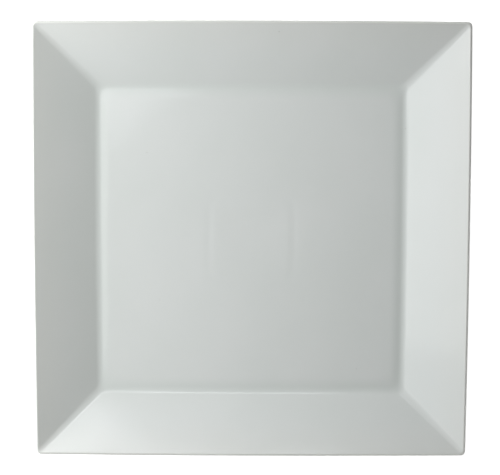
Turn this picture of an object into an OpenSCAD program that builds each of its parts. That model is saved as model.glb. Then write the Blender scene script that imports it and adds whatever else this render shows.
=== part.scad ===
// Square dinner plate: one pressed porcelain body under four coats of glaze.
// Every level line of the plate is a rounded square with slightly bowed sides. A piece is a skin
// between two profiles that run from the middle of the plate outwards, one above the other.
// The foot stands on z = 0, and the middle of the plate is x = y = 0.

/* [Plate] */
// Length of a side, over the glaze, between the middles of two opposite edges
side = 267; // [220:1:320]
// Radius of the outer corners, seen from above, over the glaze
corner_r = 3; // [1.5:0.1:6]
// How far the middle of a side stands out past its ends
side_bow = 0.6; // [0:0.1:2]

/* [Rim] */
// Slope of the rim panels, in degrees above level
rim_slope = 18; // [10:0.5:24]
// Thickness of the fired rim, without glaze
rim_t = 3.6; // [3:0.1:5]
// Radius of the fired lip's upper and lower edge
lip_r = 0.9; // [0.6:0.1:1.4]
// Radius of the mitre between two panels where it reaches the well, seen from above
mitre_r = 4.4; // [1.5:0.1:8]

/* [Well] */
// Width of the well between the inner ends of the rim panels
well_side = 194; // [160:1:210]
// Radius of the gutter, the hollow between the rim panels and the floor
gutter_r = 13; // [6:0.5:20]
// Steepest slope of the gutter's inner bank, in degrees
gutter_tilt = 4; // [1:0.5:8]
// Width of the rounded top of that bank, up to the level floor
floor_edge_w = 5.5; // [2:0.5:12]
// Corner radius of the gutter's inner bank, seen from above
gutter_corner_r = 5.5; // [3:0.5:15]
// Corner radius of the level floor, seen from above
floor_corner_r = 8; // [3:0.5:20]
// Thickness of the fired floor, without glaze
floor_t = 4.6; // [3.5:0.1:7]

/* [Foot ring] */
// Height of the floor's underside above the table
foot_h = 3.2; // [2.6:0.1:6]
// Width of the foot ring's rounded end, between its two curves
foot_w = 2; // [1:0.1:5]
// Depth ground off the foot ring to make it stand flat
foot_grind = 0.2; // [0.1:0.05:0.4]
// Width of the level strip between the foot ring and the bend of the rim
foot_inset = 3; // [0.5:0.5:12]
// Corner radius of the foot ring's outer side, seen from above
foot_corner_r = 16; // [12:0.5:30]
// Radius of the bend between the floor's underside and the back of the rim
knee_r = 10; // [4:0.5:20]

/* [Support ring] */
// Width of the support ring under the middle of the floor, over its outer side
support_side = 59; // [40:1:90]
// Width of the support ring's rounded end, between its two curves
support_w = 1.6; // [0.8:0.1:4]
// Gap between the support ring and the table
support_gap = 0.3; // [0.1:0.05:0.8]
// Corner radius of the support ring's outer side, seen from above
support_corner_r = 12; // [9:0.5:20]

/* [Both rings] */
// Angle by which the sides of the rings lean from upright, in degrees
ring_draft = 14; // [6:1:25]
// Radius of the rings' rounded ends
ring_nose_r = 0.9; // [0.6:0.1:1.2]
// Radius of the fillets at the roots of the rings
ring_root_r = 1.2; // [0.6:0.1:1.5]

/* [Glaze] */
// Thickness of the fired glaze
glaze_t = 0.4; // [0.2:0.05:0.6]

/* [Smoothness] */
// Steps round each corner of a level line
corner_steps = 5; // [3:1:8]
// Steps along each side of a level line
side_steps = 4; // [2:2:8]
// Steps round each bend of a profile
bend_steps = 5; // [3:1:6]

/* [Hidden] */

GLAZE_COLOUR = "#DDE2E0";
BARE_COLOUR = "#E9E5DB";

// Half widths of the level lines along the front of the fired body, from the lip inwards
body_half = side / 2 - glaze_t;
well_half = well_side / 2;
bank_half = well_half - gutter_r * (sin(rim_slope) + sin(gutter_tilt));
floor_half = bank_half - floor_edge_w;

// Bend at the edge of the floor, and straight lengths of the rim and lip
floor_edge_r = floor_edge_w / sin(gutter_tilt);
rim_run = body_half - lip_r * (1 + sin(rim_slope)) - well_half;
lip_flat = (rim_t - 2 * lip_r) / cos(rim_slope);

// Heights on the fired body: the floor, the gutter's inner bank, and the start of the rim panels
floor_z = foot_h + floor_t;
bank_z = floor_z - floor_edge_r * (1 - cos(gutter_tilt));
well_z = bank_z + gutter_r * (cos(gutter_tilt) - cos(rim_slope));

// The back of the rim lies a wall below the front, and bends level where it meets the underside
knee_half = well_half + (foot_h - well_z + rim_t / cos(rim_slope)) / tan(rim_slope);
knee_start = knee_half - knee_r * tan(rim_slope / 2);
knee_end = knee_start + knee_r * sin(rim_slope);
back_run = body_half - lip_r * (1 - sin(rim_slope)) - knee_end;

// Sides of the two rings: slope, and straight length and whole width for a given drop
ring_slope = 90 - ring_draft;
foot_drop = foot_h + foot_grind;
support_drop = foot_h - support_gap;
foot_half = knee_start - foot_inset;
support_half = support_side / 2;

function ring_wall(drop) =
    (drop - (ring_root_r + ring_nose_r) * (1 - cos(ring_slope))) / sin(ring_slope);
function ring_width(drop, end_w) =
    2 * ((ring_root_r + ring_nose_r) * sin(ring_slope) + ring_wall(drop) * cos(ring_slope)) + end_w;

// A profile is a list of [half width, height, slope]. It goes on from its last point through a
// list of [slope to bend to, radius of the bend, straight length after it].
function bend(at, slope, radius) =
    let (r = slope > at[2] ? radius : -radius)
    [for (i = [1 : bend_steps])
        let (t = at[2] + (slope - at[2]) * i / bend_steps)
        [at[0] + r * (sin(t) - sin(at[2])), at[1] + r * (cos(at[2]) - cos(t)), t]];

function straight(at, length) =
    length == 0 ? [] : [[at[0] + length * cos(at[2]), at[1] + length * sin(at[2]), at[2]]];

function last(list) = list[len(list) - 1];
function without_ends(list) = [for (i = [1 : len(list) - 2]) list[i]];
function without_last(list) = [for (i = [0 : len(list) - 2]) list[i]];

function profile(path, moves, i = 0) =
    i == len(moves) ? path :
    let (curve = bend(last(path), moves[i][0], moves[i][1]))
    profile(concat(path, curve, straight(last(curve), moves[i][2])), moves, i + 1);

// Fired front, from the edge of the level floor to the middle of the lip
front = profile([[floor_half, floor_z, 0]], [
    [-gutter_tilt, floor_edge_r, 0],
    [rim_slope, gutter_r, rim_run / cos(rim_slope)],
    [-90, lip_r, lip_flat / 2]
]);

// Down one side of a ring from its root, round its end, and up its other side
function into_ring(outer_half, drop, end_w) =
    profile([[outer_half - ring_width(drop, end_w), foot_h, 0]],
        [[-ring_slope, ring_root_r, ring_wall(drop)]]);
function round_ring(from, end_w) =
    profile([from], [[0, ring_nose_r, end_w], [ring_slope, ring_nose_r, 0]]);
function out_of_ring(from, drop) =
    profile(concat([from], straight(from, ring_wall(drop))), [[0, ring_root_r, 0]]);

// Fired underside, in stretches from the middle outwards
centre_side = into_ring(support_half, support_drop, support_w);
support_end = round_ring(last(centre_side), support_w);
recess_side = concat(
    out_of_ring(last(support_end), support_drop),
    into_ring(foot_half, foot_drop, foot_w)
);
foot_end = round_ring(last(recess_side), foot_w);
back_side = profile(
    concat(out_of_ring(last(foot_end), foot_drop), [[knee_start, foot_h, 0]]),
    [[rim_slope, knee_r, back_run / cos(rim_slope)], [90, lip_r, lip_flat / 2]]
);
underside = concat(
    centre_side,
    without_ends(support_end),
    recess_side,
    without_ends(foot_end),
    without_last(back_side)
);

// Corner radii of the level lines, by half width
front_corners = [
    [floor_half, floor_corner_r],
    [bank_half, gutter_corner_r],
    [well_half, mitre_r],
    [body_half, corner_r - glaze_t]
];
under_corners = [
    [support_half - ring_width(support_drop, support_w),
        support_corner_r - ring_width(support_drop, support_w)],
    [support_half, support_corner_r],
    [foot_half - ring_width(foot_drop, foot_w), foot_corner_r - ring_width(foot_drop, foot_w)],
    [foot_half, foot_corner_r],
    [body_half, corner_r - glaze_t]
];

// A station is a point of a profile with its corner radius
function stations(path, corners) = [for (p = path) concat(p, lookup(p[0], corners))];

// The same stations moved square to the surface, upwards where the thickness is positive
function coat(list, thickness) =
    [for (s = list)
        let (shift = -thickness * sin(s[2]))
        [s[0] + shift, s[1] + thickness * cos(s[2]), s[2], s[3] + shift]];

// Points of a station's level line, anticlockwise from above
function level_line(s) =
    let (bow = side_bow * s[0] / (side / 2), middle = s[0] - bow - s[3])
    [for (turn = [0 : 90 : 270])
        each [for (p = concat(
            [for (i = [0 : corner_steps])
                let (t = 90 * i / corner_steps)
                [middle + s[3] * cos(t), middle + s[3] * sin(t)]],
            [for (i = [1 : side_steps - 1])
                let (along = 1 - 2 * i / side_steps)
                [middle * along, s[0] - bow * along * along]]))
            [p[0] * cos(turn) - p[1] * sin(turn), p[0] * sin(turn) + p[1] * cos(turn), s[1]]]];

// A closed skin between two lists of stations, which are capped in the middle or leave a hole there
module skin(upper, lower, capped) {
    n = 4 * (corner_steps + side_steps);
    top_in = 0;
    top_out = len(upper) - 1;
    under_in = len(upper);
    under_out = len(upper) + len(lower) - 1;
    function strip(a, b) = [for (j = [0 : n - 1])
        let (k = (j + 1) % n)
        each [[a * n + j, b * n + k, b * n + j], [a * n + j, a * n + k, b * n + k]]];
    function turned(faces) = [for (f = faces) [f[2], f[1], f[0]]];
    polyhedron(
        points = [for (s = concat(upper, lower)) each level_line(s)],
        faces = concat(
            [for (i = [top_in : top_out - 1]) each strip(i, i + 1)],
            [for (i = [under_in : under_out - 1]) each turned(strip(i, i + 1))],
            strip(top_out, under_out),
            capped
                ? [[for (j = [n - 1 : -1 : 0]) top_in * n + j], [for (j = [0 : n - 1]) under_in * n + j]]
                : turned(strip(top_in, under_in))
        )
    );
}

front_stations = stations(front, front_corners);
centre_stations = stations(centre_side, under_corners);
recess_stations = stations(recess_side, under_corners);
back_stations = stations(back_side, under_corners);

module porcelain_body() {
    color(BARE_COLOUR)
        difference() {
            skin(front_stations, stations(underside, under_corners), true);
            translate([-side / 2, -side / 2, -foot_h])
                cube([side, side, foot_h]);
        }
}

module front_glaze() {
    color(GLAZE_COLOUR)
        skin(coat(front_stations, glaze_t), front_stations, true);
}

module back_glaze() {
    color(GLAZE_COLOUR)
        skin(back_stations, coat(back_stations, -glaze_t), false);
}

module foot_recess_glaze() {
    color(GLAZE_COLOUR)
        skin(recess_stations, coat(recess_stations, -glaze_t), false);
}

module centre_glaze() {
    color(GLAZE_COLOUR)
        skin(centre_stations, coat(centre_stations, -glaze_t), true);
}

porcelain_body();
front_glaze();
back_glaze();
foot_recess_glaze();
centre_glaze();
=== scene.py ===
"""Square white dinner plate: a pressed porcelain body under four coats of gloss glaze, in a soft studio.

Every level line of the plate is a rounded square with slightly bowed sides. A piece is lofted by
extruding one such line along a profile that runs from the middle of the plate outwards and back.
"""

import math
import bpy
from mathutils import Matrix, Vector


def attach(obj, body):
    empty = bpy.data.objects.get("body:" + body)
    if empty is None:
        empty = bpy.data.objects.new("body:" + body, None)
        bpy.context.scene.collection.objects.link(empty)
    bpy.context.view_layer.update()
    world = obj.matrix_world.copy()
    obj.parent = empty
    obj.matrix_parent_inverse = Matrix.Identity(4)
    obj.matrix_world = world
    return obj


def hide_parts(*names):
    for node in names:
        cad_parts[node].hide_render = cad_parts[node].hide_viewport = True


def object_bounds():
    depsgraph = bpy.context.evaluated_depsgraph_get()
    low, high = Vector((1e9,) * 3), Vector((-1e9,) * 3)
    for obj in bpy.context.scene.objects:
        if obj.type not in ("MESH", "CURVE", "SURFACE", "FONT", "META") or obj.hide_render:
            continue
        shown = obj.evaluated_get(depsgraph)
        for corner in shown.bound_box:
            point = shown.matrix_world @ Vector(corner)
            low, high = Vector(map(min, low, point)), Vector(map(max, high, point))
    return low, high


bl_info = {
    "name": "Square Dinner Plate",
    "version": (1, 0, 0),
    "blender": (4, 5, 0),
    "location": "View3D > Sidebar > Plate",
    "description": "Models a square porcelain dinner plate, its coats of glaze and the studio around it",
    "category": "Object",
}

from collections import namedtuple

import bmesh
import bpy
import numpy as np
from bpy.props import FloatProperty, FloatVectorProperty, PointerProperty
from mathutils import Euler, Vector

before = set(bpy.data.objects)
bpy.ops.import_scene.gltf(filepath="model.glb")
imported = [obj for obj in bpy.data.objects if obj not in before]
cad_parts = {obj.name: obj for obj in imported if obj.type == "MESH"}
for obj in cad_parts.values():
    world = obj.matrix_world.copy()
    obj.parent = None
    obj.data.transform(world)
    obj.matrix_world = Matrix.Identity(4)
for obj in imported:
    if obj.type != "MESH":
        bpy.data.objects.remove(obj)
CAD_LOW, CAD_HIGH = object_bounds()
MM = 0.001

# Fineness of the meshes
CORNER_STEPS = 12
SIDE_STEPS = 18
BEND_STEP = math.radians(3)
LEAST_BEND_STEPS = 4
PRINT_STEPS = 16
END_STEPS = 4
END_SPACE = 0.6 * MM
LARGEST_END_SHARE = 1 / 3
SHARP_ANGLE = math.radians(32)

# The photograph's frame, which the lens is worked out for
IMAGE_WIDTH_PX = 500
FOCAL_LENGTH_PX = 1284
SENSOR_WIDTH_MM = 36


def linear(hex_code):
    """Turns an sRGB hex colour into linear red, green, blue and alpha."""
    shares = [int(hex_code[i:i + 2], 16) / 255 for i in (1, 3, 5)]
    curve = [c / 12.92 if c <= 0.04045 else ((c + 0.055) / 1.055) ** 2.4 for c in shares]
    return (*curve, 1.0)


def length(name, millimetres, description):
    """A length that a user may change, given in millimetres."""
    return FloatProperty(name=name, description=description, default=millimetres * MM, min=0.0,
                         precision=5, subtype="DISTANCE", unit="LENGTH")


def extent(name, millimetres, description):
    """A width and a height that a user may change, given in millimetres."""
    return FloatVectorProperty(name=name, description=description, default=[m * MM for m in millimetres],
                               size=2, min=0.0, subtype="XYZ", unit="LENGTH")


def angle(name, degrees, description):
    """An angle that a user may change, given in degrees."""
    return FloatProperty(name=name, description=description, default=math.radians(degrees),
                         subtype="ANGLE", unit="ROTATION")


def direction(name, default, description):
    """A direction that a user may change, from the plate outwards."""
    return FloatVectorProperty(name=name, description=description, default=default, subtype="DIRECTION")


def colour(name, hex_code, description):
    """A colour that a user may change, given as sRGB hex."""
    return FloatVectorProperty(name=name, description=description, default=linear(hex_code), size=4,
                               min=0.0, max=1.0, subtype="COLOR")


def power(name, watts, description):
    """A lamp's power that a user may change, given in watts."""
    return FloatProperty(name=name, description=description, default=watts, min=0.0, precision=3,
                         unit="POWER")


def share(name, default, description):
    """A share of full white that a user may change."""
    return FloatProperty(name=name, description=description, default=default, min=0.0, max=1.0,
                         precision=3, subtype="FACTOR")


class PlateSizes(bpy.types.PropertyGroup):
    """Sizes of the fired plate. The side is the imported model's own."""

    side: length("Side", (CAD_HIGH.x - CAD_LOW.x) / MM, "Length of a side over the glaze")
    corner_r: length("Corner radius", 3, "Radius of the outer corners over the glaze")
    side_bow: length("Side bow", 0.6, "How far the middle of a side stands out past its ends")
    rim_slope: angle("Rim slope", 18, "Slope of the rim panels above level")
    rim_t: length("Rim thickness", 3.6, "Thickness of the fired rim without glaze")
    lip_r: length("Lip radius", 0.9, "Radius of the fired lip's upper and lower edge")
    mitre_r: length("Mitre radius", 4.4, "Radius of the mitre between two panels at the well")
    well_side: length("Well width", 194, "Width of the well between the inner ends of the rim panels")
    gutter_r: length("Gutter radius", 13, "Radius of the hollow between the rim panels and the floor")
    gutter_tilt: angle("Gutter tilt", 4, "Steepest slope of the gutter's inner bank")
    floor_edge_w: length("Floor edge", 5.5, "Width of the rounded top of that bank")
    gutter_corner_r: length("Gutter corner", 5.5, "Corner radius of the gutter's inner bank")
    floor_corner_r: length("Floor corner", 8, "Corner radius of the level floor")
    floor_t: length("Floor thickness", 4.6, "Thickness of the fired floor without glaze")
    foot_h: length("Foot height", 3.2, "Height of the floor's underside above the table")
    foot_w: length("Foot width", 2, "Width of the foot ring's end between its two curves")
    foot_grind: length("Foot grind", 0.2, "Depth ground off the foot ring to make it stand flat")
    foot_inset: length("Foot inset", 3, "Level strip between the foot ring and the bend of the rim")
    foot_corner_r: length("Foot corner", 16, "Corner radius of the foot ring's outer side")
    knee_r: length("Knee radius", 10, "Radius of the bend from the underside to the rim's back")
    support_side: length("Support width", 59, "Width of the support ring over its outer side")
    support_w: length("Support end", 1.6, "Width of the support ring's end between its curves")
    support_gap: length("Support gap", 0.3, "Gap between the support ring and the table")
    support_corner_r: length("Support corner", 12, "Corner radius of the support ring's outer side")
    ring_draft: angle("Ring draft", 14, "Lean of the sides of both rings from upright")
    ring_nose_r: length("Ring nose", 0.9, "Radius of both rings' rounded ends")
    ring_root_r: length("Ring root", 1.2, "Radius of the fillets at the roots of both rings")
    glaze_t: length("Glaze thickness", 0.4, "Thickness of the fired glaze")
    glaze_bead: length("Glaze bead", 0.6, "Width over which the glaze rounds off at a wiped edge")
    print_depth: length("Print depth", 0.065, "How deep the support ring shows in the floor above it")
    print_w: length("Print width", 8, "Width of the shallow groove in which the support ring shows")
    print_sag: length("Print sag", 0.16, "How far the floor inside that groove sags")


class PlateFinishes(bpy.types.PropertyGroup):
    """Colours of the plate's two materials."""

    glaze: colour("Glaze", "#DFE3E1", "Fired white glaze on an even surface")
    glaze_pooled: colour("Pooled glaze", "#D3DAD6", "Glaze where it ran together and fired thicker")
    glaze_thin: colour("Thin glaze", "#E4E4DE", "Glaze where it ran thin and the body shows through")
    speck: colour("Iron speck", "#8B8578", "Specks of iron that burnt through the glaze")
    bare: colour("Bare porcelain", "#E9E5DB", "Ground and unglazed porcelain")
    rubbed: colour("Rubbed porcelain", "#C9C4B8", "Bare porcelain greyed by shelves and tables")


class StudioSettings(bpy.types.PropertyGroup):
    """Camera, room and lamps of the studio. The lamps' own settings follow from SOFTBOXES."""

    camera_place: FloatVectorProperty(
        name="Camera place", description="Where the camera stands above the plate",
        default=(2.1 * MM, 68.5 * MM, 800 * MM), subtype="TRANSLATION", unit="LENGTH")
    camera_turn: FloatVectorProperty(
        name="Camera turn", description="Turn of the camera from looking straight down",
        default=[math.radians(d) for d in (-4.85, 0.22, 0.17)], subtype="EULER", unit="ROTATION")
    room_colour: colour("Room", "#FFFFFF", "White walls of the room, which are the background")
    fill: share("Fill", 0.08, "Light that the white room throws back into the shade")
    ceiling: angle("Ceiling", 52, "How far from straight above the dark ceiling of the room reaches")
    ceiling_blur: angle("Ceiling blur", 3, "How softly that ceiling ends, to either side")
    floor_colour: colour("Floor", "#F2F2F0", "Matt white floor")
    floor_glow: share("Floor glow", 0.88, "White that the floor adds where it is seen directly")
    floor_reach: length("Floor reach", 2500, "How far the floor runs from the middle to each side")


# Each lamp's name, direction, distance and size in millimetres, power in watts, light and look
Softbox = namedtuple("Softbox", "name towards distance size power colour look")
SOFTBOXES = (
    Softbox("low", (-0.935, 0.2, 0.29), 700, (1200, 300), 5.85, "#FAFAFF", "wide softbox low on the left"),
    Softbox("high", (-0.67, 0.18, 0.72), 700, (600, 400), 3.15, "#FFFFFC", "softbox higher on the left"),
    Softbox("side", (-0.47, 0.07, 1.0), 1000, (600, 400), 0.88, "#FFFFFC", "softbox up on the left"),
    Softbox("corner", (-0.21, 0.18, 1.0), 1000, (200, 200), 0.2, "#FAFAFF", "small softbox, far left"),
    Softbox("back", (-0.01, 0.3, 1.0), 3000, (560, 200), 1.7, "#FAFAFF", "softbox behind the camera"),
    Softbox("strip", (1.0, -0.8, 0.032), 400, (900, 20), 0.6, "#FFFFFF", "strip no higher than the lip"),
)
SOFTBOX_SETTINGS = ("direction", "distance", "size", "power", "colour")


def softbox_properties(box):
    """The settings of a softbox that a user may change, under its own names."""
    title = box.name.capitalize()
    made = (
        direction(f"{title} direction", box.towards, f"Direction from the plate to the {box.look}"),
        length(f"{title} distance", box.distance, f"Distance of the {box.look}"),
        extent(f"{title} size", box.size, f"Width and height of the {box.look}"),
        power(f"{title} power", box.power, f"Power of the {box.look}"),
        colour(f"{title} colour", box.colour, f"Colour of the light of the {box.look}"),
    )
    return {f"{box.name}_{setting}": prop for setting, prop in zip(SOFTBOX_SETTINGS, made)}


for softbox in SOFTBOXES:
    StudioSettings.__annotations__.update(softbox_properties(softbox))


Point = namedtuple("Point", "half height slope")
Station = namedtuple("Station", "half height corner bow pool")


class Profile:
    """A walk from the middle of the plate outwards, as points of half width, height and slope."""

    def __init__(self, half, height, slope=0.0):
        self.points = [Point(half, height, slope)]

    @property
    def end(self):
        """The last point of the walk."""
        return self.points[-1]

    def bend(self, slope, radius):
        """Goes on round a bend until the surface has the given slope."""
        at = self.end
        turn = math.copysign(radius, slope - at.slope)
        steps = max(LEAST_BEND_STEPS, math.ceil(abs(slope - at.slope) / BEND_STEP))
        for i in range(1, steps + 1):
            now = at.slope + (slope - at.slope) * i / steps
            self.points.append(Point(at.half + turn * (math.sin(now) - math.sin(at.slope)),
                                     at.height + turn * (math.cos(at.slope) - math.cos(now)), now))
        return self

    def run(self, distance):
        """Goes straight on. Points crowd at both ends, which keeps the shading of the flat between even."""
        at = self.end
        space = min(END_SPACE, distance * LARGEST_END_SHARE)
        near = [space * (1 - math.cos(math.pi / 2 * i / END_STEPS)) for i in range(1, END_STEPS + 1)]
        for along in near + [distance - d for d in reversed(near)] + [distance]:
            self.points.append(Point(at.half + along * math.cos(at.slope),
                                     at.height + along * math.sin(at.slope), at.slope))
        return self

    def kink(self, slope):
        """Turns on the spot."""
        self.points[-1] = self.end._replace(slope=slope)
        return self


class PlateShape:
    """The profiles of the fired body, the corner radii along them, and the pieces' stations."""

    def __init__(self, sizes):
        self.sizes = s = sizes
        self.body_half = s.side / 2 - s.glaze_t
        self.floor_z = s.foot_h + s.floor_t
        self.ring_slope = math.pi / 2 - s.ring_draft
        self.support_half = s.support_side / 2
        self.support_drop = s.foot_h - s.support_gap
        self.support_ring_w = self.ring_width(self.support_drop, s.support_w)
        self.lip_flat = (s.rim_t - 2 * s.lip_r) / math.cos(s.rim_slope)
        self.draw_front()
        self.draw_underside()

    def draw_front(self):
        """Draws the front from the edge of the level floor to the middle of the lip."""
        s = self.sizes
        well_half = s.well_side / 2
        self.gutter_half = well_half - s.gutter_r * math.sin(s.rim_slope)
        bank_half = self.gutter_half - s.gutter_r * math.sin(s.gutter_tilt)
        self.floor_half = bank_half - s.floor_edge_w
        floor_edge_r = s.floor_edge_w / math.sin(s.gutter_tilt)
        rim_run = self.body_half - s.lip_r * (1 + math.sin(s.rim_slope)) - well_half
        walk = Profile(self.floor_half, self.floor_z)
        walk.bend(-s.gutter_tilt, floor_edge_r).bend(s.rim_slope, s.gutter_r)
        well_z = walk.end.height
        walk.run(rim_run / math.cos(s.rim_slope)).bend(-math.pi / 2, s.lip_r).run(self.lip_flat / 2)
        self.front = walk.points
        self.front_corners = [
            (self.floor_half, s.floor_corner_r),
            (bank_half, s.gutter_corner_r),
            (well_half, s.mitre_r),
            (self.body_half, s.corner_r - s.glaze_t),
        ]
        drop = s.foot_h - well_z + s.rim_t / math.cos(s.rim_slope)
        knee_half = well_half + drop / math.tan(s.rim_slope)
        self.knee_start = knee_half - s.knee_r * math.tan(s.rim_slope / 2)

    def draw_underside(self):
        """Draws the underside from the middle outwards, in stretches parted by the rings' bare ends."""
        s = self.sizes
        foot_half = self.knee_start - s.foot_inset
        ground = math.acos(1 - s.foot_grind / s.ring_nose_r)
        face = s.foot_w + 2 * s.ring_nose_r * math.sin(ground)
        knee_end = self.knee_start + s.knee_r * math.sin(s.rim_slope)
        back_run = self.body_half - s.lip_r * (1 - math.sin(s.rim_slope)) - knee_end
        foot_drop = s.foot_h + s.foot_grind
        support_in = self.support_half - self.support_ring_w
        foot_in = foot_half - self.ring_width(foot_drop, s.foot_w)

        centre = self.into_ring(Profile(support_in, s.foot_h), self.support_drop)
        support = Profile(*centre.end).bend(0, s.ring_nose_r).run(s.support_w)
        support.bend(self.ring_slope, s.ring_nose_r)
        recess = self.out_of_ring(support.end, self.support_drop)
        recess.run(foot_in - recess.end.half)
        self.into_ring(recess, foot_drop)
        foot = Profile(*recess.end).bend(-ground, s.ring_nose_r).kink(0).run(face).kink(ground)
        foot.bend(self.ring_slope, s.ring_nose_r)
        back = self.out_of_ring(foot.end, foot_drop)
        back.run(self.knee_start - back.end.half).bend(s.rim_slope, s.knee_r)
        back.run(back_run / math.cos(s.rim_slope)).bend(math.pi / 2, s.lip_r).run(self.lip_flat / 2)

        self.centre, self.recess, self.back = centre.points, recess.points, back.points
        self.under = (self.centre + support.points[1:-1] + self.recess + foot.points[1:-1]
                      + self.back[:-1])
        self.under_corners = [
            (support_in, s.support_corner_r - self.support_ring_w),
            (self.support_half, s.support_corner_r),
            (foot_in, s.foot_corner_r - foot_half + foot_in),
            (foot_half, s.foot_corner_r),
            (self.body_half, s.corner_r - s.glaze_t),
        ]

    def ring_wall(self, drop):
        """Straight length of a ring's side."""
        s = self.sizes
        bends = (s.ring_root_r + s.ring_nose_r) * (1 - math.cos(self.ring_slope))
        return (drop - bends) / math.sin(self.ring_slope)

    def ring_width(self, drop, end_w):
        """Width of a ring between its roots."""
        s = self.sizes
        bends = (s.ring_root_r + s.ring_nose_r) * math.sin(self.ring_slope)
        return 2 * (bends + self.ring_wall(drop) * math.cos(self.ring_slope)) + end_w

    def into_ring(self, walk, drop):
        """Goes down a ring's side from its root."""
        return walk.bend(-self.ring_slope, self.sizes.ring_root_r).run(self.ring_wall(drop))

    def out_of_ring(self, start, drop):
        """Goes up a ring's side to its root."""
        return Profile(*start).run(self.ring_wall(drop)).bend(0, self.sizes.ring_root_r)

    def printed_floor(self):
        """Floor from the middle outwards: the sag inside the support ring, its print, the level rest."""
        s = self.sizes
        inner = self.support_half - (self.support_ring_w + s.print_w) / 2
        points = []
        for i in range(1, PRINT_STEPS):
            along = i / PRINT_STEPS
            sag = s.print_sag * (1 - along ** 2)
            points.append(Point(inner * along, self.floor_z - sag, 0.0))
        for i in range(PRINT_STEPS + 1):
            along = i / PRINT_STEPS
            dip = s.print_depth * (1 - math.cos(2 * math.pi * along)) / 2
            points.append(Point(inner + s.print_w * along, self.floor_z - dip, 0.0))
        return points + [self.front[0]._replace(half=self.floor_half - END_SPACE)]

    def stations(self, points, corners, thicknesses=None):
        """Adds corner radii to points, moved square to the surface: up by a positive thickness."""
        s = self.sizes
        made = []
        for i, point in enumerate(points):
            thickness = thicknesses[i] if thicknesses else 0.0
            shift = -thickness * math.sin(point.slope)
            half = point.half + shift
            made.append(Station(half, point.height + thickness * math.cos(point.slope),
                                np.interp(point.half, *zip(*corners)) + shift,
                                s.side_bow * half / (s.side / 2), self.pool(point)))
        return made

    def pool(self, point):
        """How far the glaze ran together at a point: 1 in the gutter's hollow, -1 over the lip."""
        pool_reach = self.sizes.gutter_r / 3
        thin_reach = self.sizes.lip_r * 2
        hollow = math.exp(-((point.half - self.gutter_half) / pool_reach) ** 2)
        edge = math.exp(-((point.half - self.body_half) / thin_reach) ** 2)
        return hollow - edge

    def coat_thicknesses(self, points, wiped):
        """Thickness of a coat below points, rounded off towards the ends that are wiped bare."""
        s = self.sizes
        shares = [1.0] * len(points)
        for end in wiped:
            for i, point in enumerate(points):
                away = math.hypot(point.half - points[end].half, point.height - points[end].height)
                rise = min(1.0, away / s.glaze_bead)
                shares[i] = min(shares[i], math.sqrt(1 - (1 - rise) ** 2))
        return [-s.glaze_t * part for part in shares]

    def body(self):
        """Stations of the fired body: over the front, round the lip, and back along the underside."""
        return (self.stations(self.front, self.front_corners)
                + self.stations(self.under[::-1], self.under_corners))

    def front_coat(self):
        """Stations of the glaze on the front: over it, and back along the body."""
        over = self.printed_floor() + self.front
        raised = [self.sizes.glaze_t] * len(over)
        return (self.stations(over, self.front_corners_printed(), raised)
                + self.stations(self.front[::-1], self.front_corners))

    def front_corners_printed(self):
        """Corner radii of the front, with those of the support ring's print."""
        radius = self.sizes.support_corner_r
        printed = [
            (0.0, 0.0),
            (self.support_half - self.support_ring_w, radius - self.support_ring_w),
            (self.support_half, radius),
        ]
        return printed + self.front_corners

    def under_coat(self, points, wiped):
        """Stations of a coat below a stretch of the underside: under it, and back along the body."""
        over = self.stations(points, self.under_corners, self.coat_thicknesses(points, wiped))
        back = self.stations(points, self.under_corners)
        first = 1 if 0 in wiped else 0
        last = len(points) - 1 if -1 in wiped else len(points)
        return over + back[first:last][::-1]


# The sides of a level line: how many, and the axis along a side with the axis across it
SIDES = 4
SIDE_AXES = ((0, 1), (1, 0))


def level_line(bm, station):
    """Draws a rounded square with bowed sides, whose points crowd towards the corners."""
    bmesh.ops.create_grid(bm, x_segments=1, y_segments=1, size=station.half - station.bow)
    bmesh.ops.bevel(bm, geom=bm.verts[:], offset=station.corner, offset_type="OFFSET",
                    segments=CORNER_STEPS, profile=0.5, affect="VERTICES", material=-1)
    bmesh.ops.delete(bm, geom=bm.faces[:], context="FACES_ONLY")
    sides = sorted(bm.edges, key=lambda edge: edge.calc_length())[-SIDES:]
    bmesh.ops.subdivide_edges(bm, edges=sides, cuts=SIDE_STEPS - 1)
    core = station.half - station.bow - station.corner
    for vert in bm.verts:
        vert.co.z = station.height
        for axis, across in SIDE_AXES:
            along = vert.co[axis] / core
            if abs(along) < 1:
                eased = math.sin(math.pi / 2 * along)
                vert.co[axis] = core * eased
                vert.co[across] = math.copysign(station.half - station.bow * eased ** 2, vert.co[across])
                break
    return bm.edges[:]


def carried(place, was, now):
    """Where a place on one level line lies on the next."""
    core_was = was.half - was.bow - was.corner
    core_now = now.half - now.bow - now.corner
    along = [max(-1.0, min(1.0, place[axis] / core_was)) for axis in (0, 1)]
    for axis, across in SIDE_AXES:
        if abs(along[axis]) < 1:
            moved = [0.0, 0.0, now.height]
            moved[axis] = core_now * along[axis]
            moved[across] = math.copysign(now.half - now.bow * along[axis] ** 2, place[across])
            return moved
    return [core_now * along[axis] + now.corner * (place[axis] - core_was * along[axis]) / was.corner
            for axis in (0, 1)] + [now.height]


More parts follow.
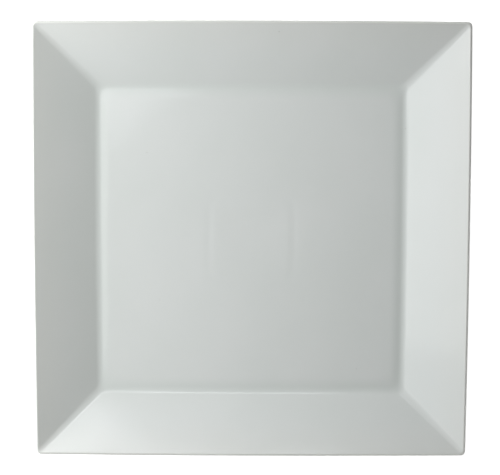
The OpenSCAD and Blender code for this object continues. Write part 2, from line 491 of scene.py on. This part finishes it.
def loft(stations, capped):
    """Extrudes a level line from station to station into a closed skin."""
    bm = bmesh.new()
    pool = bm.verts.layers.float.new("glaze_pool")
    first = ring = level_line(bm, stations[0])
    for vert in bm.verts:
        vert[pool] = stations[0].pool
    for was, now in zip(stations, stations[1:]):
        made = bmesh.ops.extrude_edge_only(bm, edges=ring)["geom"]
        verts = {item for item in made if isinstance(item, bmesh.types.BMVert)}
        for vert in verts:
            vert.co = carried(vert.co, was, now)
            vert[pool] = now.pool
        edges = [item for item in made if isinstance(item, bmesh.types.BMEdge)]
        ring = [edge for edge in edges if verts.issuperset(edge.verts)]
    if capped:
        for end in (first, ring):
            bmesh.ops.edgeloop_fill(bm, edges=end)
    else:
        bmesh.ops.bridge_loops(bm, edges=first + ring)
    bmesh.ops.recalc_face_normals(bm, faces=bm.faces[:])
    for edge in bm.edges:
        edge.smooth = edge.calc_face_angle(0.0) < SHARP_ANGLE
    for face in bm.faces:
        face.smooth = True
    return bm


def add_object(name, bm, material):
    """Makes a mesh an object of the scene, in one material."""
    mesh = bpy.data.meshes.new(name)
    bm.to_mesh(mesh)
    bm.free()
    mesh.materials.append(material)
    made = bpy.data.objects.new(name, mesh)
    bpy.context.scene.collection.objects.link(made)
    return made


def add_piece(name, bm, material, node):
    """Makes a mesh a piece of the plate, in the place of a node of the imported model."""
    piece = add_object(name, bm, material)
    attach(piece, "root")
    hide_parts(node)


def new_material(name):
    """Gives an empty node material and its tree."""
    made = bpy.data.materials.new(name)
    made.use_nodes = True
    made.node_tree.nodes.clear()
    return made, made.node_tree


def add_node(tree, kind, inputs=(), **settings):
    """Adds a node with its settings, and fills its inputs with values or with other nodes' outputs."""
    node = tree.nodes.new(kind)
    for name, value in settings.items():
        setattr(node, name, value)
    for name, value in dict(inputs).items():
        if isinstance(value, bpy.types.NodeSocket):
            tree.links.new(value, node.inputs[name])
        else:
            node.inputs[name].default_value = value
    return node


# A Mix node keeps a pair of sockets for each kind of data, so its colours go by number
MIX_SHARE, MIX_A, MIX_B, MIX_RESULT = 0, 6, 7, 2

# How wide the marks of a noise pattern are, and how many finer layers lie over them
Pattern = namedtuple("Pattern", "width detail")

# Nearly all of a noise pattern lies between these two values
NOISE_LOW, NOISE_HIGH = 0.3, 0.7

# The glaze, where a share is how much of a tone shows at most
DIP_CLOUDS = Pattern(45 * MM, 3.0)
DIP_CLOUD_START = 0.35
DIP_CLOUD_SHARE = 0.22
POOLED_SHARE = 0.5
THIN_SHARE = 0.6
SPECK_SPACING = 110 * MM
SPECK_CORE_R = 0.15 * MM
SPECK_R = 0.35 * MM
SPECK_SHARE = 0.5
DULL_PATCHES = Pattern(12 * MM, 4.0)
GLOSSY_ROUGHNESS = 0.07
DULL_ROUGHNESS = 0.11
PRESS_WAVES = Pattern(40 * MM, 0.0)
PRESS_WAVE_DEPTH = 0.06 * MM
ORANGE_PEEL = Pattern(4 * MM, 1.0)
ORANGE_PEEL_DEPTH = 0.006 * MM
PORCELAIN_IOR = 1.5


def glossy_porcelain_glaze():
    """Feldspar glaze, dipped and fired to a gloss on a white body.

    It gives the eye a cool white that greys softly in shade, soft-edged highlights, a trace of
    green where it pooled in the gutter, a warmer line where it ran thin over the lip, a very faint
    orange peel, and a few iron specks.
    """
    found = bpy.data.materials.get("glossy_porcelain_glaze")
    if found:
        return found
    colours = bpy.context.scene.plate_finishes
    material, tree = new_material("glossy_porcelain_glaze")
    place = add_node(tree, "ShaderNodeTexCoord").outputs["Object"]

    # Clouds in the coat, where the dip ran a little thicker or thinner
    clouds = add_node(tree, "ShaderNodeTexNoise", {
        "Vector": place, "Scale": 1 / DIP_CLOUDS.width, "Detail": DIP_CLOUDS.detail})
    drift = add_node(tree, "ShaderNodeMapRange", {
        "Value": clouds.outputs["Fac"], "From Min": DIP_CLOUD_START, "From Max": NOISE_HIGH,
        "To Min": 0.0, "To Max": DIP_CLOUD_SHARE})
    tone = add_node(tree, "ShaderNodeMix", {
        MIX_SHARE: drift.outputs["Result"], MIX_A: colours.glaze,
        MIX_B: colours.glaze_pooled}, data_type="RGBA")

    # Glaze that ran together in the gutter, and thin over the lip
    pool = add_node(tree, "ShaderNodeAttribute", attribute_name="glaze_pool").outputs["Fac"]
    pooled = add_node(tree, "ShaderNodeMath", {0: pool, 1: POOLED_SHARE},
                      operation="MULTIPLY", use_clamp=True)
    tone = add_node(tree, "ShaderNodeMix", {
        MIX_SHARE: pooled.outputs[0], MIX_A: tone.outputs[MIX_RESULT],
        MIX_B: colours.glaze_pooled}, data_type="RGBA")
    thin = add_node(tree, "ShaderNodeMath", {0: pool, 1: -THIN_SHARE},
                    operation="MULTIPLY", use_clamp=True)
    tone = add_node(tree, "ShaderNodeMix", {
        MIX_SHARE: thin.outputs[0], MIX_A: tone.outputs[MIX_RESULT],
        MIX_B: colours.glaze_thin}, data_type="RGBA")

    # Iron specks, one in each cell of the plate, which fade out towards their edge
    cells = add_node(tree, "ShaderNodeTexVoronoi", {
        "Vector": place, "Scale": 1 / SPECK_SPACING}, voronoi_dimensions="2D")
    speck = add_node(tree, "ShaderNodeMapRange", {
        "Value": cells.outputs["Distance"], "From Min": SPECK_CORE_R / SPECK_SPACING,
        "From Max": SPECK_R / SPECK_SPACING, "To Min": SPECK_SHARE, "To Max": 0.0})
    tone = add_node(tree, "ShaderNodeMix", {
        MIX_SHARE: speck.outputs["Result"], MIX_A: tone.outputs[MIX_RESULT],
        MIX_B: colours.speck}, data_type="RGBA")

    # Gloss that is a little duller in patches, as after some washing
    patches = add_node(tree, "ShaderNodeTexNoise", {
        "Vector": place, "Scale": 1 / DULL_PATCHES.width, "Detail": DULL_PATCHES.detail})
    rough = add_node(tree, "ShaderNodeMapRange", {
        "Value": patches.outputs["Fac"], "From Min": NOISE_LOW, "From Max": NOISE_HIGH,
        "To Min": GLOSSY_ROUGHNESS, "To Max": DULL_ROUGHNESS})

    # Orange peel, over slow waves left by the press
    waves = add_node(tree, "ShaderNodeTexNoise", {
        "Vector": place, "Scale": 1 / PRESS_WAVES.width, "Detail": PRESS_WAVES.detail})
    waved = add_node(tree, "ShaderNodeBump", {
        "Strength": 1.0, "Distance": PRESS_WAVE_DEPTH, "Height": waves.outputs["Fac"]})
    peel = add_node(tree, "ShaderNodeTexNoise", {
        "Vector": place, "Scale": 1 / ORANGE_PEEL.width, "Detail": ORANGE_PEEL.detail})
    peeled = add_node(tree, "ShaderNodeBump", {
        "Strength": 1.0, "Distance": ORANGE_PEEL_DEPTH, "Height": peel.outputs["Fac"],
        "Normal": waved.outputs["Normal"]})
    shader = add_node(tree, "ShaderNodeBsdfPrincipled", {
        "Base Color": tone.outputs[MIX_RESULT], "Roughness": rough.outputs["Result"],
        "IOR": PORCELAIN_IOR, "Normal": peeled.outputs["Normal"]})
    add_node(tree, "ShaderNodeOutputMaterial", {"Surface": shader.outputs["BSDF"]})
    return material


# The bare porcelain. Its real grain is finer, and is drawn coarse enough to show in a close view
RUB_MARKS = Pattern(14 * MM, 5.0)
RUB_START, RUB_FULL = 0.48, 0.68
RUB_SHARE = 0.8
GROUND_GRAIN = Pattern(0.5 * MM, 2.0)
GROUND_GRAIN_DEPTH = 0.03 * MM
SMOOTHEST_GROUND, ROUGHEST_GROUND = 0.68, 0.88


def ground_bare_porcelain():
    """Porcelain fired bare and ground flat on a wheel.

    It gives the eye a matt, faintly warm white with the fine grain of the ground body, and grey
    patches where it was rubbed by shelves and tables.
    """
    colours = bpy.context.scene.plate_finishes
    material, tree = new_material("ground_bare_porcelain")
    place = add_node(tree, "ShaderNodeTexCoord").outputs["Object"]

    # Grey rub marks
    marks = add_node(tree, "ShaderNodeTexNoise", {
        "Vector": place, "Scale": 1 / RUB_MARKS.width, "Detail": RUB_MARKS.detail})
    rubbed = add_node(tree, "ShaderNodeMapRange", {
        "Value": marks.outputs["Fac"], "From Min": RUB_START, "From Max": RUB_FULL,
        "To Min": 0.0, "To Max": RUB_SHARE})
    tone = add_node(tree, "ShaderNodeMix", {
        MIX_SHARE: rubbed.outputs["Result"], MIX_A: colours.bare,
        MIX_B: colours.rubbed}, data_type="RGBA")

    # Grain that the wheel opened
    grain = add_node(tree, "ShaderNodeTexNoise", {
        "Vector": place, "Scale": 1 / GROUND_GRAIN.width, "Detail": GROUND_GRAIN.detail})
    rough = add_node(tree, "ShaderNodeMapRange", {
        "Value": grain.outputs["Fac"], "From Min": NOISE_LOW, "From Max": NOISE_HIGH,
        "To Min": SMOOTHEST_GROUND, "To Max": ROUGHEST_GROUND})
    bump = add_node(tree, "ShaderNodeBump", {
        "Strength": 1.0, "Distance": GROUND_GRAIN_DEPTH, "Height": grain.outputs["Fac"]})
    shader = add_node(tree, "ShaderNodeBsdfPrincipled", {
        "Base Color": tone.outputs[MIX_RESULT], "Roughness": rough.outputs["Result"],
        "IOR": PORCELAIN_IOR, "Normal": bump.outputs["Normal"]})
    add_node(tree, "ShaderNodeOutputMaterial", {"Surface": shader.outputs["BSDF"]})
    return material


def seen_directly(tree):
    """A socket that is 1 for rays that show the background: from the camera, a gloss or a glass."""
    rays = add_node(tree, "ShaderNodeLightPath").outputs
    mirrored = add_node(tree, "ShaderNodeMath", {
        0: rays["Is Camera Ray"], 1: rays["Is Glossy Ray"]}, operation="MAXIMUM")
    seen = add_node(tree, "ShaderNodeMath", {
        0: mirrored.outputs[0], 1: rays["Is Transmission Ray"]}, operation="MAXIMUM")
    return seen.outputs[0]


# The paper of the floor
PAPER_FIBRES = Pattern(1.5 * MM, 3.0)
PAPER_FIBRE_DEPTH = 0.02 * MM


def matt_white_studio_paper():
    """White paper rolled out over a table: matt, evenly white where it is lit, and grey under the plate."""
    studio = bpy.context.scene.plate_studio
    material, tree = new_material("matt_white_studio_paper")
    place = add_node(tree, "ShaderNodeTexCoord").outputs["Object"]
    fibres = add_node(tree, "ShaderNodeTexNoise", {
        "Vector": place, "Scale": 1 / PAPER_FIBRES.width, "Detail": PAPER_FIBRES.detail})
    bump = add_node(tree, "ShaderNodeBump", {
        "Strength": 1.0, "Distance": PAPER_FIBRE_DEPTH, "Height": fibres.outputs["Fac"]})
    paper = add_node(tree, "ShaderNodeBsdfDiffuse", {
        "Color": studio.floor_colour, "Normal": bump.outputs["Normal"]})
    glow = add_node(tree, "ShaderNodeMath", {
        0: seen_directly(tree), 1: studio.floor_glow}, operation="MULTIPLY")
    white = add_node(tree, "ShaderNodeEmission", {"Strength": glow.outputs[0]})
    both = add_node(tree, "ShaderNodeAddShader", {0: paper.outputs[0], 1: white.outputs[0]})

    # The paper is clear from below, so that the underside of the plate can be looked at
    below = add_node(tree, "ShaderNodeNewGeometry").outputs["Backfacing"]
    clear = add_node(tree, "ShaderNodeBsdfTransparent")
    surface = add_node(tree, "ShaderNodeMixShader", {0: below, 1: both.outputs[0], 2: clear.outputs[0]})
    add_node(tree, "ShaderNodeOutputMaterial", {"Surface": surface.outputs[0]})
    return material


# Strength at which a background is white
WHITE = 1.0


def white_room():
    """A room with white walls and a dark ceiling, which only a gloss shows: the camera sees white."""
    studio = bpy.context.scene.plate_studio
    world = bpy.data.worlds.new("white_room")
    world.use_nodes = True
    tree = world.node_tree
    tree.nodes.clear()
    place = add_node(tree, "ShaderNodeTexCoord").outputs["Generated"]
    upward = add_node(tree, "ShaderNodeSeparateXYZ", {"Vector": place}).outputs["Z"]
    by_camera = add_node(tree, "ShaderNodeLightPath").outputs["Is Camera Ray"]
    seen = add_node(tree, "ShaderNodeMapRange", {
        "Value": upward, "From Min": math.cos(studio.ceiling + studio.ceiling_blur),
        "From Max": math.cos(studio.ceiling - studio.ceiling_blur), "To Min": WHITE, "To Max": by_camera})
    strength = add_node(tree, "ShaderNodeMapRange", {
        "Value": seen_directly(tree), "To Min": studio.fill, "To Max": seen.outputs["Result"]})
    room = add_node(tree, "ShaderNodeBackground", {
        "Color": studio.room_colour, "Strength": strength.outputs["Result"]})
    add_node(tree, "ShaderNodeOutputWorld", {"Surface": room.outputs[0]})
    return world


def add_softbox(name, towards, distance, size, watts, tint):
    """Hangs a softbox that faces the plate."""
    lamp = bpy.data.lights.new(name, "AREA")
    lamp.shape = "RECTANGLE"
    lamp.size, lamp.size_y = size
    lamp.energy = watts
    lamp.color = tint[:3]
    box = bpy.data.objects.new(name, lamp)
    box.location = Vector(towards).normalized() * distance
    box.rotation_euler = Vector(towards).to_track_quat("Z", "Y").to_euler()
    box.visible_camera = False
    bpy.context.scene.collection.objects.link(box)


class PLATE_OT_stage(bpy.types.Operator):
    """Sets up the floor, the lamps, the white room and the camera."""

    bl_idname = "plate.stage"
    bl_label = "Studio"

    def execute(self, context):
        """Builds the studio."""
        studio = context.scene.plate_studio
        bm = bmesh.new()
        bmesh.ops.create_grid(bm, x_segments=1, y_segments=1, size=studio.floor_reach)
        floor = add_object("studio_floor", bm, matt_white_studio_paper())

        for box in SOFTBOXES:
            settings = [getattr(studio, f"{box.name}_{setting}") for setting in SOFTBOX_SETTINGS]
            add_softbox(f"{box.name}_softbox", *settings)
        context.scene.world = white_room()

        lens = bpy.data.cameras.new("camera")
        lens.sensor_width = SENSOR_WIDTH_MM
        lens.lens = FOCAL_LENGTH_PX / IMAGE_WIDTH_PX * SENSOR_WIDTH_MM
        camera = bpy.data.objects.new("camera", lens)
        camera.location = studio.camera_place
        camera.rotation_euler = Euler(studio.camera_turn, "XYZ")
        context.scene.collection.objects.link(camera)
        context.scene.camera = camera
        context.scene.view_settings.view_transform = "Standard"
        return {"FINISHED"}


class PLATE_OT_porcelain_body(bpy.types.Operator):
    """Models the fired body with its floor, rim, foot ring and support ring."""

    bl_idname = "plate.porcelain_body"
    bl_label = "Porcelain body"

    def execute(self, context):
        """Lofts the body."""
        shape = PlateShape(context.scene.plate_sizes)
        skin = loft(shape.body(), True)
        add_piece("fired_body", skin, ground_bare_porcelain(), "porcelain_body")
        return {"FINISHED"}


class PLATE_OT_front_glaze(bpy.types.Operator):
    """Models the glaze on the well, the rim panels and the upper half of the lip."""

    bl_idname = "plate.front_glaze"
    bl_label = "Front glaze"

    def execute(self, context):
        """Lofts the front coat."""
        shape = PlateShape(context.scene.plate_sizes)
        skin = loft(shape.front_coat(), True)
        add_piece("front_coat", skin, glossy_porcelain_glaze(), "front_glaze")
        return {"FINISHED"}


class PLATE_OT_under_glazes(bpy.types.Operator):
    """Models the three coats of glaze on the underside, which the wiped rings part."""

    bl_idname = "plate.under_glazes"
    bl_label = "Underside glazes"

    def execute(self, context):
        """Lofts the coats on the back of the rim, in the foot ring and in the support ring."""
        shape = PlateShape(context.scene.plate_sizes)
        coats = (
            ("back_coat", shape.back, (0,), False, "back_glaze"),
            ("recess_coat", shape.recess, (0, -1), False, "foot_recess_glaze"),
            ("centre_coat", shape.centre, (-1,), True, "centre_glaze"),
        )
        for name, points, wiped, capped, node in coats:
            skin = loft(shape.under_coat(points, wiped), capped)
            add_piece(name, skin, glossy_porcelain_glaze(), node)
        return {"FINISHED"}


class PLATE_PT_sidebar(bpy.types.Panel):
    """Lists the steps that build the plate, with its sizes and colours."""

    bl_idname = "PLATE_PT_sidebar"
    bl_label = "Square dinner plate"
    bl_space_type = "VIEW_3D"
    bl_region_type = "UI"
    bl_category = "Plate"

    def draw(self, context):
        """Draws the buttons and the values."""
        scene = context.scene
        for operator in OPERATORS:
            self.layout.operator(operator.bl_idname)
        for group in (scene.plate_sizes, scene.plate_finishes, scene.plate_studio):
            box = self.layout.box()
            for name in group.__annotations__:
                box.prop(group, name)


OPERATORS = (PLATE_OT_stage, PLATE_OT_porcelain_body, PLATE_OT_front_glaze, PLATE_OT_under_glazes)
GROUPS = (PlateSizes, PlateFinishes, StudioSettings)
CLASSES = GROUPS + OPERATORS + (PLATE_PT_sidebar,)


def register():
    """Registers the classes and puts their values on the scene."""
    for item in CLASSES:
        bpy.utils.register_class(item)
    bpy.types.Scene.plate_sizes = PointerProperty(type=PlateSizes)
    bpy.types.Scene.plate_finishes = PointerProperty(type=PlateFinishes)
    bpy.types.Scene.plate_studio = PointerProperty(type=StudioSettings)


def unregister():
    """Takes the values off the scene and unregisters the classes."""
    del bpy.types.Scene.plate_studio
    del bpy.types.Scene.plate_finishes
    del bpy.types.Scene.plate_sizes
    for item in reversed(CLASSES):
        bpy.utils.unregister_class(item)


def main():
    """Builds the studio and the plate."""
    register()
    bpy.ops.plate.stage()
    bpy.ops.plate.porcelain_body()
    bpy.ops.plate.front_glaze()
    bpy.ops.plate.under_glazes()
    bpy.context.view_layer.update()


if __name__ == "__main__":
    main()
